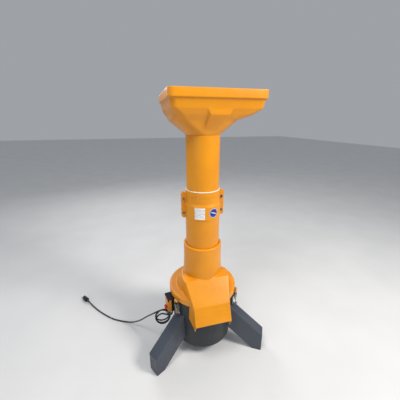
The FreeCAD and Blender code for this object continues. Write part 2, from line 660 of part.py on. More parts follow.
cover_edges = rounded(cover_outer, d.edge_round, cover_edge)
boss_edges = rounded(cover_edges, d.boss_round,
                     lambda e: round_edge(e, d.boss_head, d.boss_top))
chute_round = rounded(chute_outer, d.edge_round - 1, chute_edge)
ledge_high = d.drum_top + d.seal_thick
cover_ledge = turned("CoverLedge", [
    (d.drum_mouth - d.drum_wall, ledge_high), (d.dome_outer - 1, ledge_high),
    (d.dome_outer - 1, ledge_high + d.cover_ledge),
    (d.drum_mouth - d.drum_wall, ledge_high + d.cover_ledge)])
tube_seat = turned("TubeSeat", [
    (d.seat_inner, d.lower_tube_base - d.seat_thick),
    (d.sleeve_foot - 2.5, d.lower_tube_base - d.seat_thick),
    (d.sleeve_foot - 2.5, d.lower_tube_base), (d.seat_inner, d.lower_tube_base)])


def nub():
    """Catch on the skirt that a latch's wire hooks over."""
    return box(d.dome_outer - 3, d.nub_reach, -d.nub_half, d.nub_half, d.skirt_base,
               d.skirt_base + d.nub_height, "Nub")


turns = {"left": d.left_leg_turn, "right": d.right_leg_turn, "rear": d.rear_leg_turn}
nubs = [about_axis([nub()], turn) for turn in turns.values()]
shell = cut(fuse([boss_edges, chute_round]), [cover_inner, chute_inner])
ledge_open = cut(cover_ledge, [chute_inner])
moulding = fuse([shell, ledge_open, tube_seat] + nubs, "Moulding")
sleeve_reach = d.sleeve_foot + 10
sleeve_low = d.brow_height + 2
sleeve_zone = box(-sleeve_reach, sleeve_reach, -sleeve_reach, sleeve_reach, sleeve_low,
                  d.sleeve_top + 1, "SleeveZone")
node("mill_cover", cut(moulding, [sleeve_zone]))
node("cover_sleeve", common([moulding, sleeve_zone]))

seal_ring = turned("CoverSeal", [
    (d.drum_mouth - d.drum_wall, d.drum_top), (d.drum_mouth, d.drum_top),
    (d.drum_mouth, ledge_high), (d.drum_mouth - d.drum_wall, ledge_high)])
node("cover_seal", cut(seal_ring, [box(-d.chute_half_top, d.chute_half_top, -200, 0,
                                       d.drum_top - 5, ledge_high + 5)]))

# ---------------------------------------------------------------- base drum
floor_low = d.floor_top - d.floor_thick
drum = turned("Drum", [
    (d.drum_foot - 18, d.drum_base), (d.drum_foot, d.drum_base), (d.drum_mouth, d.drum_top),
    (d.drum_mouth - d.drum_wall, d.drum_top), (drum_radius(floor_low) - d.drum_wall, floor_low),
    (d.ledge_inner, floor_low), (d.ledge_inner, floor_low - d.ledge_thick),
    (drum_radius(floor_low - d.ledge_thick) - d.drum_wall, floor_low - d.ledge_thick),
    (drum_radius(d.drum_base + 8) - d.drum_wall, d.drum_base + 8),
    (d.drum_foot - 18, d.drum_base + 8)])
latch_pads = [about_axis([box(d.drum_foot + 8, d.pad_face, -d.pad_half, d.pad_half,
                              d.pad_low, d.pad_high)], turn) for turn in turns.values()]
switch_pad = about_axis([box(-d.switch_pad_face, -d.drum_foot - 8, -d.switch_half - 2,
                             d.switch_half + 2, d.switch_low + 2, d.switch_high + 4)],
                        d.switch_turn)
leg_holes = [about_axis([rod(d.leg_bolt + 0.3, 60, d.drum_foot - 30, 0, z, "X")
                         for z in (d.leg_bolt_low, d.leg_bolt_high)], turn)
             for turn in turns.values()]
floor_screw_ring = d.ledge_inner + 8
floor_screw_turns = (0, 60, 120, 180, 240, 300)


def polar(radius, angle):
    return (radius * math.cos(math.radians(angle)), radius * math.sin(math.radians(angle)))


def ring_rods(radius, length, ring, low, angles):
    return [rod(radius, length, *polar(ring, a), low) for a in angles]


notch = box(-d.notch_half, d.notch_half, -200, -100, d.floor_top, d.drum_top + 5)
hollow = turned("DrumHollow", [
    (0, d.drum_base + 8), (drum_radius(d.drum_base + 8) - d.drum_wall, d.drum_base + 8),
    (drum_radius(floor_low - d.ledge_thick) - d.drum_wall, floor_low - d.ledge_thick),
    (0, floor_low - d.ledge_thick)])
cable_hole = about_axis([rod(4.5, 60, -d.drum_foot - 25, 0, d.switch_low + 30, "X")],
                        d.switch_turn)
pads = [cut(fuse(latch_pads + [switch_pad]), [hollow])]
node("base_drum", cut(fuse([drum] + pads), leg_holes + [notch, cable_hole]
                      + ring_rods(2.5, 14, floor_screw_ring, floor_low - 12, floor_screw_turns)
                      + ring_rods(2.5, 12, d.drum_foot - 11, d.drum_base - 2,
                                  (15, 75, 135, 195, 255, 315))))

plate_low = d.drum_base - d.bottom_plate_thick
bottom = rod(d.drum_foot - 2, d.bottom_plate_thick, 0, 0, plate_low)
vents = ring_rods(d.vent_radius, 20, d.vent_ring, plate_low - 5, range(0, 360, 20))
vents += ring_rods(d.vent_radius, 20, d.vent_ring - 26, plate_low - 5, range(10, 370, 30))
vents += ring_rods(d.vent_radius, 20, d.vent_ring - 52, plate_low - 5, range(0, 360, 45))
node("bottom_plate", cut(bottom, vents + ring_rods(
    2.7, 20, d.drum_foot - 11, plate_low - 5, (15, 75, 135, 195, 255, 315))))


def screw(x, y, seat, thread, head, head_height, length, up=True):
    """A screw with its head on a level face; up means that the head is above the face."""
    if up:
        parts = [rod(head, head_height, x, y, seat), rod(thread, length + 1, x, y, seat - length)]
    else:
        parts = [rod(head, head_height, x, y, seat - head_height),
                 rod(thread, length + 1, x, y, seat - 1)]
    return fuse(parts)


node("bottom_screws", group([screw(*polar(d.drum_foot - 11, a), plate_low, 2.4, 4.5, 2.5, 13,
                                   False) for a in (15, 75, 135, 195, 255, 315)]))

# ---------------------------------------------------------------- legs
leg_slope = (d.leg_top - d.toe_height) / (d.leg_reach - d.leg_root)
under_slope = d.leg_under / (d.toe_inner - d.leg_root)
drop = d.leg_wall * 1.28
cavity_end = d.drum_mouth + 3
cavity_reach = d.leg_reach - d.leg_wall


def toe_edge(edge):
    """The level edge across the top of the toe."""
    bound = edge.BoundBox
    return bound.YLength > 10 and is_near(bound.XMin, d.leg_reach.value) and bound.ZMin > 50


def beam_edge(edge):
    """The long edges along the top of the beam and down the toe."""
    bound = edge.BoundBox
    return bound.YLength < 0.1 and bound.XMax > 320 and bound.ZMax > 50


def leg(name, turn):
    """A sloped box beam with a hollow that opens under the toe."""
    beam = padded("Beam", "XZ_Plane", [
        (d.leg_root - 25, d.leg_top + leg_slope * 25), (d.leg_root - 25, d.leg_under),
        (d.leg_root, d.leg_under + d.pad_height), (d.toe_inner, d.pad_height),
        (d.leg_reach, d.pad_height), (d.leg_reach, d.toe_height)], d.leg_width)
    soft = rounded(rounded(beam, 7, toe_edge), 4, beam_edge)
    inside = padded("BeamInside", "XZ_Plane", [
        (cavity_end, d.leg_top - leg_slope * (cavity_end - d.leg_root) - drop),
        (cavity_end, under_slope * (d.toe_inner - cavity_end) + drop + d.pad_height),
        (d.toe_inner + 10, d.pad_height), (d.toe_inner + 10, -5), (cavity_reach, -5),
        (cavity_reach, d.toe_height + leg_slope * d.leg_wall - drop)],
        d.leg_width - d.leg_wall * 2)
    core = drum_core(0, d.drum_base - 20, d.drum_top + 20)
    holes = [rod(d.leg_bolt + 0.3, 60, d.drum_foot - 30, 0, z, "X")
             for z in (d.leg_bolt_low, d.leg_bolt_high)]
    node(f"leg_{name}", cut(soft, [inside, core] + holes), turn)
    foot = fuse([box(d.toe_inner + 1, d.leg_reach - 1, 1 - d.leg_width.value / 2,
                     d.leg_width / 2 - 1, 0, d.pad_height),
                 box(d.toe_inner + 11, cavity_reach - 1, -d.leg_width / 2 + d.leg_wall + 0.5,
                     d.leg_width / 2 - d.leg_wall - 0.5, d.pad_height, d.pad_height + 10)])
    node(f"foot_{name}", foot, turn)


for name, turn in turns.items():
    leg(name, turn)


def leg_bolt(z):
    """A bolt from inside the drum, with its nut in the leg's hollow."""
    seat = drum_radius(z - 9) - d.drum_wall - 0.5
    return fuse([rod(d.leg_bolt + 3.5, 5, seat - 5, 0, z, "X"),
                 rod(d.leg_bolt, cavity_end - seat + 9, seat - 2, 0, z, "X"),
                 rod(d.leg_bolt + 3.5, 6, cavity_end, 0, z, "X")])


node("leg_bolts", group([about_axis([leg_bolt(z) for z in (d.leg_bolt_low, d.leg_bolt_high)],
                                    turn) for turn in turns.values()]))

# ---------------------------------------------------------------- chamber floor and motor
floor_disc = rod(drum_radius(floor_low) - d.drum_wall - 0.4, d.floor_thick, 0, 0, floor_low)
motor_bolt_turns = (45, 135, 225, 315)
node("chamber_floor", cut(floor_disc, [rod(d.shaft_radius + 1, 20, 0, 0, floor_low - 5)]
                          + ring_rods(d.motor_bolt + 0.3, 20, d.motor_bolt_ring, floor_low - 5,
                                      motor_bolt_turns)
                          + ring_rods(2.7, 20, floor_screw_ring, floor_low - 5,
                                      floor_screw_turns)))
node("floor_screws", group([screw(*polar(floor_screw_ring, a), d.floor_top, 2.4, 4.5, 3,
                                  d.floor_thick + 8) for a in floor_screw_turns]))
node("motor_bolts", group([screw(*polar(d.motor_bolt_ring, a), d.floor_top, d.motor_bolt, 7, 4.5,
                                 d.floor_thick + d.flange_thick + 4)
                           for a in motor_bolt_turns]))

web_low = floor_low - d.web_thick
seal_step = floor_low - 19
housing = turned("Housing", [
    (d.seal_outer, floor_low), (d.motor_flange, floor_low),
    (d.motor_flange, floor_low - d.flange_thick), (d.motor_outer, floor_low - d.flange_thick - 4),
    (d.motor_outer, d.motor_base), (d.motor_outer - d.motor_wall, d.motor_base),
    (d.motor_outer - d.motor_wall, web_low), (d.bearing_outer, web_low),
    (d.bearing_outer, seal_step), (d.seal_outer, seal_step)])
node("motor_housing", cut(housing, ring_rods(d.motor_bolt + 0.3, 30, d.motor_bolt_ring,
                                             floor_low - 20, motor_bolt_turns)))


def sleeve(outer, inner, low, high, label="Sleeve"):
    return turned(label, [(inner, low), (outer, low), (outer, high), (inner, high)])


journal = d.shaft_radius + d.shaft_fit
node("upper_bearing", sleeve(d.bearing_outer, journal, seal_step - d.bearing_width, seal_step))
node("shaft_seal", sleeve(d.seal_outer, journal, floor_low - d.seal_width, floor_low))
cap_step = d.cap_base + 6
node("motor_cap", turned("MotorCap", [
    (d.shaft_radius + 2, d.cap_base), (d.cap_outer, d.cap_base), (d.cap_outer, d.motor_base),
    (d.bearing_outer, d.motor_base), (d.bearing_outer, cap_step),
    (d.shaft_radius + 2, cap_step)]))
node("lower_bearing", sleeve(d.bearing_outer, journal, cap_step, d.motor_base))
node("stator", sleeve(d.motor_outer - d.motor_wall, d.stator_inner, d.core_base, d.core_top))
node("rotor_core", sleeve(d.stator_inner - d.air_gap, d.shaft_radius, d.core_base, d.core_top))
node("fan_cover", turned("FanCover", [
    (24, d.fan_cover_base), (d.cap_outer + 3, d.fan_cover_base), (d.cap_outer + 3, d.cap_base + 8),
    (d.cap_outer, d.cap_base + 8), (d.cap_outer, d.fan_cover_base + 3),
    (24, d.fan_cover_base + 3)]))

node("motor_shaft", turned("Shaft", [
    (0, d.shaft_base), (d.stub_radius, d.shaft_base), (d.stub_radius, d.cap_base - 1),
    (d.shaft_radius, d.cap_base - 1), (d.shaft_radius, d.disc_base),
    (d.stub_radius + 1, d.disc_base), (d.stub_radius + 1, d.shaft_top), (0, d.shaft_top)]))
fan_low = d.shaft_base + 2
fan_high = d.cap_base - 3
fan_hub = sleeve(d.stub_radius + 6, d.stub_radius, fan_low, fan_high)
fan_plate = sleeve(d.fan_outer, d.stub_radius + 5, fan_high - 2, fan_high)
fan_vanes = [about_axis([box(d.stub_radius + 5, d.fan_outer, -1, 1, fan_low, fan_high - 1)],
                        sized(a)) for a in range(0, 360, 45)]
node("cooling_fan", fuse([fan_hub, fan_plate] + fan_vanes))

terminal = box(-d.motor_outer - 34, -d.motor_outer + 6, -24, 24, 180, 240)
node("terminal_box", cut(terminal, [rod(d.motor_outer, 200, 0, 0, d.motor_base)]),
     turn=d.switch_turn)

# ---------------------------------------------------------------- cutter
disc_high = d.disc_base + d.disc_thick
slots = [about_axis([box(52, 96, 12, 26, d.disc_base - 5, disc_high + 5)], sized(a))
         for a in (45, 165, 285)]
hub = rod(d.hub_outer, 6, 0, 0, disc_high - 1)
disc = fuse([rod(d.disc_outer, d.disc_thick, 0, 0, d.disc_base), hub])
node("cutter_disc", cut(disc, slots + [rod(d.stub_radius + 1, 40, 0, 0, d.disc_base - 10)]))
hub_high = disc_high + 5
blade_outline = [
    (-d.blade_reach, -d.blade_half + 8), (-24, -d.blade_half), (24, -d.blade_half),
    (d.blade_reach, d.blade_half - 12), (d.blade_reach, d.blade_half - 2), (24, d.blade_half),
    (-24, d.blade_half), (-d.blade_reach, d.blade_half - 6)]
node("cross_blade", cut(padded("Blade", "XY_Plane", blade_outline, 4, hub_high),
                        [rod(d.stub_radius + 1, 40, 0, 0, hub_high - 10)]))
knives = []
for a in (0, 60, 120, 180, 240, 300):
    upright = box(d.knife_ring - 12, d.knife_ring + 12, -d.knife_thick / 2, d.knife_thick / 2,
                  disc_high, disc_high + d.knife_height)
    heel = box(d.knife_ring - 12, d.knife_ring + 12, -d.knife_thick / 2, 12, disc_high,
               disc_high + 3)
    knives.append(about_axis([fuse([upright, heel])], sized(a)))
node("edge_knives", group(knives))
nut_low = hub_high + 4
node("cutter_nut", cut(fuse([rod(20, 3, 0, 0, nut_low), rod(15, 11, 0, 0, nut_low)]),
                       [rod(d.stub_radius + 1, 40, 0, 0, nut_low - 10)]))


# ---------------------------------------------------------------- latches
def latch(name, turn):
    """A lever latch: plate with ears, over-centre lever and wire bail."""
    reach, height = d.pivot_reach, d.pivot_height
    plate_face = d.pad_face + d.plate_thick
    plate = box(d.pad_face, plate_face, -d.plate_half, d.plate_half, d.pad_low + 1,
                d.pad_high - 1)
    ears = []
    outer = d.lever_half + d.side_fit + d.cheek_thick
    for low, high in ((-outer, -d.lever_half - d.side_fit), (d.lever_half + d.side_fit, outer)):
        ears.append(rod(d.ear_round, d.cheek_thick, reach, low, height, "Y"))
        ears.append(box(d.pad_face + 1, reach, low, high, height - 8, height + d.ear_round))
    pin = rod(d.pin_radius, outer * 2, reach, -outer, height, "Y")
    node(f"latch_plate_{name}", fuse([plate, pin] + ears), turn)

    knuckle = rod(d.ear_round - 2, d.lever_half * 2, reach, -d.lever_half, height, "Y")
    blade = box(reach - 4, reach + 5, -d.lever_half, d.lever_half, height - d.arm - 8, height)
    handle = box(reach + 2, reach + 5, -d.lever_half, d.lever_half, d.handle_low, height)
    tip = box(reach + 2, reach + 11, -d.lever_half, d.lever_half, d.handle_low, d.handle_low + 3)
    channel = box(reach - 5, reach + 2, 2 - d.lever_half.value, d.lever_half - 2,
                  height - d.arm - 10, height - 4)
    holes = [rod(d.pin_radius + d.pin_fit, 40, reach, -20, height, "Y"),
             rod(d.bail_wire + d.pin_fit, 40, reach, -20, height - d.arm, "Y")]
    node(f"latch_lever_{name}", cut(fuse([knuckle, blade, handle, tip]), [channel] + holes),
         turn)

    side = outer + d.side_fit + d.bail_wire
    low = height - d.arm
    high = d.skirt_base + d.nub_height + d.bail_wire + d.bail_gap
    corner = 3.0
    ys, zl, zh = side.value, low.value, high.value
    spots = [(2.5, zl), (ys, zl), (ys, zh), (-ys, zh), (-ys, zl), (-2.5, zl)]
    inner = d.lever_half.value - 1.5
    spots[0] = (inner, zl)
    spots[-1] = (-inner, zl)
    route = [Vector(reach.value, y, z) for y, z in spots]
    wire = doc.addObject("Part::Feature", "Bail")
    wire.Shape = tube_along(route, [corner] * 4, d.bail_wire.value)
    node(f"latch_bail_{name}", group([wire]), turn)


def path_of(points, radii):
    """Straight runs joined by tangent arcs of the given radii."""
    edges = []
    here = points[0]
    for i, radius in enumerate(radii, start=1):
        corner = points[i]
        back = (points[i - 1] - corner).normalize()
        on = (points[i + 1] - corner).normalize()
        half = back.getAngle(on) / 2
        setback = radius / math.tan(half)
        first = corner + back * setback
        last = corner + on * setback
        centre = corner + (back + on).normalize() * (radius / math.sin(half))
        middle = centre + (corner - centre).normalize() * radius
        edges.append(Part.LineSegment(here, first).toShape())
        edges.append(Part.Arc(first, middle, last).toShape())
        here = last
    edges.append(Part.LineSegment(here, points[-1]).toShape())
    return Part.Wire(edges)


def tube_along(points, radii, radius):
    """A round solid along a path of runs and arcs."""
    path = path_of(points, radii)
    start = (points[1] - points[0]).normalize()
    ring = Part.Wire([Part.Circle(points[0], start, radius).toShape()])
    return path.makePipeShell([ring], True, False)


for name, turn in turns.items():
    latch(name, turn)

# ---------------------------------------------------------------- switch
half = d.switch_half
body_box = box(-d.switch_face, -d.switch_pad_face, -half, half, d.switch_low, d.switch_high)
hood = box(-d.hood_reach, -d.switch_face + 1, -half - 0.3, half + 0.3,
           d.switch_high - d.hood_thick, d.switch_high)
cheeks = []
for low, high in ((-half - 0.3, -d.flap_half - 0.3), (d.flap_half + 0.3, half + 0.3)):
    cheeks.append(box(-d.hood_reach, -d.hood_reach + 8, low, high, d.hinge_height - 4,
                      d.switch_high - 1))
hinge_pin = rod(d.hinge_pin, half * 2 + 0.6, -d.hinge_reach, -half - 0.3, d.hinge_height, "Y")
wells = [rod(d.button_radius + 0.3, 6, -d.switch_face - 1, 0, z, "X")
         for z in (d.knob_height, d.start_height)]
stem_wells = [rod(3.3, 12, -d.switch_face - 1, 0, z, "X") for z in (d.knob_height, d.start_height)]
node("switch_box", cut(fuse([body_box, hood, hinge_pin] + cheeks), wells + stem_wells),
     turn=d.switch_turn)

flap_solid = box(-d.flap_reach, -d.switch_face - 0.3, -d.flap_half, d.flap_half, d.flap_low,
                 d.flap_high)
flap_hollow = box(d.flap_wall - d.flap_reach, -d.switch_face + 1, d.flap_wall - d.flap_half,
                  d.flap_half - d.flap_wall, d.flap_low + d.flap_wall, d.flap_high - d.flap_wall)
node("switch_flap", cut(flap_solid, [
    flap_hollow, rod(d.hinge_pin + d.pin_fit, 80, -d.hinge_reach, -40, d.hinge_height, "Y"),
    rod(d.knob_stem + 0.3, 20, -d.flap_reach - 5, 0, d.knob_height, "X")]), turn=d.switch_turn)

knob_face = d.flap_reach + d.knob_gap
node("stop_knob", fuse([
    rod(d.knob_radius, d.knob_thick, -knob_face - d.knob_thick, 0, d.knob_height, "X"),
    rod(d.knob_stem, d.knob_gap + d.flap_wall + 3, -knob_face - 1, 0, d.knob_height, "X"),
    rod(d.knob_stem + 2, 2, d.flap_wall - d.flap_reach, 0, d.knob_height, "X")]),
    turn=d.switch_turn)


def button(label, z):
    """A push button in its well, with room to travel."""
    cap = rod(d.button_radius, d.button_stand + 2, -d.switch_face - d.button_stand, 0, z, "X")
    stem = rod(3, 6, -d.switch_face + 1, 0, z, "X")
    node(label, fuse([cap, stem]), turn=d.switch_turn)


button("stop_button", d.knob_height)
button("start_button", d.start_height)

gland_low = d.switch_low - d.gland_length
gland = doc.addObject("Part::Cone", "GlandCone")
bind(gland, "Radius1", d.gland_tip)
bind(gland, "Radius2", d.gland_top)
bind(gland, "Height", d.gland_length)
place(gland, x=-d.gland_reach, z=gland_low)
node("cord_gland", group([gland]), turn=d.switch_turn)
hook_x = d.switch_face
hook = fuse([box(-hook_x, -hook_x + 3, -4, 4, gland_low - 6, d.switch_low),
             box(-hook_x - 20, -hook_x + 3, -4, 4, gland_low - 9, gland_low - 6),
             box(-hook_x - 20, -hook_x - 17, -4, 4, gland_low - 9, gland_low + 2)])
node("cord_hook", hook, turn=d.switch_turn)

# ---------------------------------------------------------------- lead
hank = padded("Hank", "XZ_Plane", round_box(-d.hank_left, -d.hank_right, d.hank_low, d.hank_high,
                                            d.hank_corner), d.hank_depth)
hook_copy = fuse([box(-hook_x, -hook_x + 3, -4, 4, gland_low - 6, d.switch_low),
                  box(-hook_x - 20, -hook_x + 3, -4, 4, gland_low - 9, gland_low - 6),
                  box(-hook_x - 20, -hook_x - 17, -4, 4, gland_low - 9, gland_low + 2)])
place(hank, y=-d.hank_back)
node("cord_hank", cut(hank, [about_axis([hook_copy], d.switch_turn)]))

ROUTE = [
    (-246.0, -24.0, 218.0), (-274.0, -7.0, 207.0), (-303.0, 34.0, 170.0), (-343.0, 80.0, 105.0),
    (-385.0, 130.0, 48.0), (-428.0, 172.0, 11.0), (-480.0, 202.0, 4.2), (-541.0, 236.0, 4.2),
    (-597.0, 288.0, 4.2), (-648.0, 342.0, 4.2), (-690.0, 396.0, 7.0), (-722.0, 437.0, 14.2)]
lead_points = [Vector(*p) for p in ROUTE]
lead_radii = []
for before, corner, after in zip(lead_points, lead_points[1:], lead_points[2:]):
    turn_by = (corner - before).getAngle(after - corner)
    short = min((corner - before).Length, (after - corner).Length)
    lead_radii.append(0.45 * short / math.tan(turn_by / 2))
cord_radius = d.cord_radius.value
lead = doc.addObject("Part::Feature", "Lead")
lead.Shape = tube_along(lead_points, lead_radii, cord_radius)
lead_length = path_of(lead_points, lead_radii).Length
print("lead radii", [round(r, 1) for r in lead_radii])
print("lead length", round(lead_length, 1), "volume ratio",
      round(lead.Shape.Volume / (math.pi * cord_radius ** 2 * lead_length), 5),
      "lowest", round(lead.Shape.BoundBox.ZMin, 3))
node("mains_cord", group([lead]))

end = lead_points[-1]
relief = doc.addObject("Part::Cone", "Relief")
bind(relief, "Radius1", d.cord_radius + 0.8)
bind(relief, "Radius2", d.cord_radius + 4)
bind(relief, "Height", d.plug_relief)
relief.Placement = Placement(Vector(0, 0, 0), AXES["X"])
grip = rod(d.plug_radius, d.plug_length, d.plug_relief, 0, 0, "X")
nose = rod(d.plug_radius - 2, 6, d.plug_relief + d.plug_length, 0, 0, "X")
plug_solid = fuse([relief, grip, nose])
plug_front = d.plug_relief + d.plug_length + 6
prongs = [rod(d.plug_pin, d.pin_length, plug_front, side, 0, "X")
          for side in (d.pin_spread, -d.pin_spread)]
for label, item in (("plug_body", plug_solid), ("plug_pins", group(prongs))):
    held = place(group([item]), end.x, end.y, end.z, turn=d.plug_turn)
    node(label, group([held]))

doc.recompute()

# ---------------------------------------------------------------- checks and files
for item in doc.Objects:
    wrong = {"Invalid", "Error"} & set(item.State)
    if wrong:
        raise RuntimeError(f"{item.Label}: {sorted(wrong)}")
os.makedirs("parts", exist_ok=True)
for label, item in NODES.items():
    shape = item.Shape
    if shape.isNull() or not shape.isValid() or not shape.Solids:
        raise RuntimeError(f"{label} has no sound solid")
    shape.exportStep(f"parts/{label}.step")
    bound = shape.BoundBox
    print(f"{label:22s} {len(shape.Solids)} {shape.Volume / 1000:9.1f} cm3",
          [round(v, 1) for v in (bound.XMin, bound.XMax, bound.YMin, bound.YMax,
                                 bound.ZMin, bound.ZMax)])
print(len(NODES), "nodes")
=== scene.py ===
import bmesh
import bpy
import math
from mathutils import Matrix, Vector


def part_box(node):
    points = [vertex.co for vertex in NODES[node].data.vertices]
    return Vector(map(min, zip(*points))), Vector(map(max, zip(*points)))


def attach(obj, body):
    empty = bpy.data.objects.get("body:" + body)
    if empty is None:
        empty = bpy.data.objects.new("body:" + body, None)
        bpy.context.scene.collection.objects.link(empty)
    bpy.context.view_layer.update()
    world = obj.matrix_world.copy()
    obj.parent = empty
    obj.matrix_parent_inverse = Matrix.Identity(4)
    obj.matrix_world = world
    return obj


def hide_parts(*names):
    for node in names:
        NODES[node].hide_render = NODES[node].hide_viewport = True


# Electric fruit mill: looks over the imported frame.  Metres, +Z up, front is -Y.
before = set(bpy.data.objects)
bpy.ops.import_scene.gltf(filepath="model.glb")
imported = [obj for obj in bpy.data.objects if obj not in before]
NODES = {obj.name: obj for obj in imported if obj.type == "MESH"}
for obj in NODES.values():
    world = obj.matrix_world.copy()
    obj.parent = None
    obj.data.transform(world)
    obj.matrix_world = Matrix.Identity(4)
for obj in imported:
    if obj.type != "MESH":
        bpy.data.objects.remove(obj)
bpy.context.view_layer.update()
scene = bpy.context.scene

AXIS_Y = -0.0635                       # the tube axis stands at x = 0 and this y
SWITCH_TURN = math.radians(9)
LEGS = ("left", "right", "rear")

CAMERA_PLACE = (-0.2916, -1.1399, 1.232)
CAMERA_DOWN = 18.53                    # degrees below level
CAMERA_TURN = -14.5                    # degrees about Z, to the right of the object's front
LENS_LENGTH = 21.08                    # millimetres
SENSOR_WIDTH = 36

LEAD_RADIUS = 0.004
TIE_RADIUS = 0.0011

COVER_VOXEL = 0.0017                   # grid that the cover's moulding is rebuilt on
HOPPER_VOXEL = 0.0018
COVER_ROUNDS = 9                       # smoothing passes over the corners
HOPPER_ROUNDS = 14
MOULDING_FACES = 90000


# ---------------------------------------------------------------- camera
camera_data = bpy.data.cameras.new("Camera")
camera_data.sensor_width = SENSOR_WIDTH
camera_data.lens = LENS_LENGTH
camera_data.clip_start = 0.02
camera = bpy.data.objects.new("Camera", camera_data)
camera.location = CAMERA_PLACE
camera.rotation_euler = (math.radians(90 - CAMERA_DOWN), 0, math.radians(CAMERA_TURN))
scene.collection.objects.link(camera)
scene.camera = camera


# ---------------------------------------------------------------- materials
def shader(name):
    """A material with its node tree, its Principled shader and object-space coordinates."""
    made = bpy.data.materials.new(name)
    made.use_nodes = True
    tree = made.node_tree
    body = tree.nodes["Principled BSDF"]
    place = tree.nodes.new("ShaderNodeTexCoord").outputs["Object"]
    return made, tree, body, place


def noise(tree, place, scale, detail=2.0, stretch=(1, 1, 1)):
    """Noise in object space, stretched along an axis when a number is not 1."""
    mapping = tree.nodes.new("ShaderNodeMapping")
    mapping.inputs["Scale"].default_value = stretch
    tree.links.new(place, mapping.inputs["Vector"])
    made = tree.nodes.new("ShaderNodeTexNoise")
    made.inputs["Scale"].default_value = scale
    made.inputs["Detail"].default_value = detail
    tree.links.new(mapping.outputs["Vector"], made.inputs["Vector"])
    return made.outputs["Fac"]


def ramp(tree, value, stops):
    """A colour ramp from (position, colour) pairs."""
    made = tree.nodes.new("ShaderNodeValToRGB")
    band = made.color_ramp
    while len(band.elements) < len(stops):
        band.elements.new(0.5)
    for element, (position, colour) in zip(band.elements, stops):
        element.position = position
        element.color = (*colour, 1) if len(colour) == 3 else colour
    tree.links.new(value, made.inputs["Fac"])
    return made.outputs["Color"]


def grey(value):
    return (value, value, value)


def math_node(tree, kind, first, second):
    made = tree.nodes.new("ShaderNodeMath")
    made.operation = kind
    for socket, value in zip(made.inputs, (first, second)):
        if isinstance(value, (int, float)):
            socket.default_value = value
        else:
            tree.links.new(value, socket)
    return made.outputs[0]


def bump(tree, body, layers):
    """Bumps laid one over another from (height, distance in metres, strength)."""
    last = None
    for height, distance, strength in layers:
        made = tree.nodes.new("ShaderNodeBump")
        made.inputs["Distance"].default_value = distance
        made.inputs["Strength"].default_value = strength
        tree.links.new(height, made.inputs["Height"])
        if last is not None:
            tree.links.new(last, made.inputs["Normal"])
        last = made.outputs["Normal"]
    tree.links.new(last, body.inputs["Normal"])


def plastic(name, colour, shade, rough, grain=700, depth=0.00012, sheen=0.5, wave=0.0006):
    """Moulded plastic: two near colours, a fine mould grain and a slight waviness."""
    made, tree, body, place = shader(name)
    patch = noise(tree, place, 6, 3)
    tree.links.new(ramp(tree, patch, [(0.32, shade), (0.62, colour)]), body.inputs["Base Color"])
    wear = noise(tree, place, 45, 4)
    tree.links.new(ramp(tree, wear, [(0.3, grey(rough - 0.06)), (0.75, grey(rough + 0.08))]),
                   body.inputs["Roughness"])
    body.inputs["Specular IOR Level"].default_value = sheen
    fine = noise(tree, place, grain, 2)
    slow = noise(tree, place, 9, 2)
    bump(tree, body, [(slow, wave, 0.35), (fine, depth, 0.45)])
    return made


def metal(name, colour, shade, rough, stretch=(1, 1, 1), grain=260, depth=0.00006):
    """Metal with tarnish patches and fine marks, drawn out along an axis when brushed."""
    made, tree, body, place = shader(name)
    body.inputs["Metallic"].default_value = 1.0
    patch = noise(tree, place, 90, 5)
    tree.links.new(ramp(tree, patch, [(0.38, shade), (0.6, colour)]), body.inputs["Base Color"])
    marks = noise(tree, place, grain, 3, stretch)
    tree.links.new(ramp(tree, marks, [(0.3, grey(rough - 0.1)), (0.7, grey(rough + 0.14))]),
                   body.inputs["Roughness"])
    bump(tree, body, [(marks, depth, 0.5)])
    return made


ORANGE = plastic("orange_plastic", (0.78, 0.295, 0.003), (0.70, 0.250, 0.002), 0.34)
CHARCOAL = plastic("black_plastic", (0.024, 0.027, 0.031), (0.017, 0.019, 0.023), 0.50,
                   grain=520, depth=0.0003, sheen=0.45)
# Legs: the black plastic painted lighter and bluer, as painted light for the strong light
# falling on their faces
LIT_LEG_PLASTIC = plastic("leg_plastic_painted_light", (0.058, 0.070, 0.092), (0.044, 0.053, 0.071), 0.46,
                      grain=520, depth=0.0003, sheen=0.5)
FLAP = plastic("flap_plastic", (0.80, 0.30, 0.004), (0.72, 0.25, 0.003), 0.30, grain=900)
RED = plastic("red_plastic", (0.56, 0.004, 0.010), (0.46, 0.003, 0.007), 0.22, grain=900,
              depth=0.00005)
GREEN = plastic("green_plastic", (0.02, 0.35, 0.08), (0.015, 0.28, 0.06), 0.25, grain=900,
                depth=0.00005)
SWITCH = plastic("switch_plastic", (0.010, 0.011, 0.014), (0.006, 0.007, 0.009), 0.56, grain=900,
                 sheen=0.22)
SEAL = plastic("white_seal", (0.88, 0.88, 0.86), (0.80, 0.80, 0.77), 0.5, grain=900,
               depth=0.00006)
GASKET = plastic("seal_rubber", (0.030, 0.030, 0.032), (0.018, 0.018, 0.020), 0.68, grain=800)
CORD = plastic("cord_rubber", (0.012, 0.014, 0.019), (0.007, 0.008, 0.011), 0.42, grain=1100,
               depth=0.00015)
ZINC = metal("zinc_steel", (0.38, 0.35, 0.30), (0.14, 0.12, 0.09), 0.27)
STEEL = metal("stainless", (0.68, 0.69, 0.70), (0.52, 0.53, 0.54), 0.28, (1, 12, 1))
CAST = metal("cast_alloy", (0.58, 0.59, 0.60), (0.40, 0.41, 0.42), 0.55, grain=420, depth=0.0003)
CORE = metal("core_steel", (0.30, 0.30, 0.32), (0.17, 0.16, 0.16), 0.5, (1, 1, 30))
BRASS = metal("plug_brass", (0.78, 0.60, 0.28), (0.58, 0.42, 0.18), 0.3)


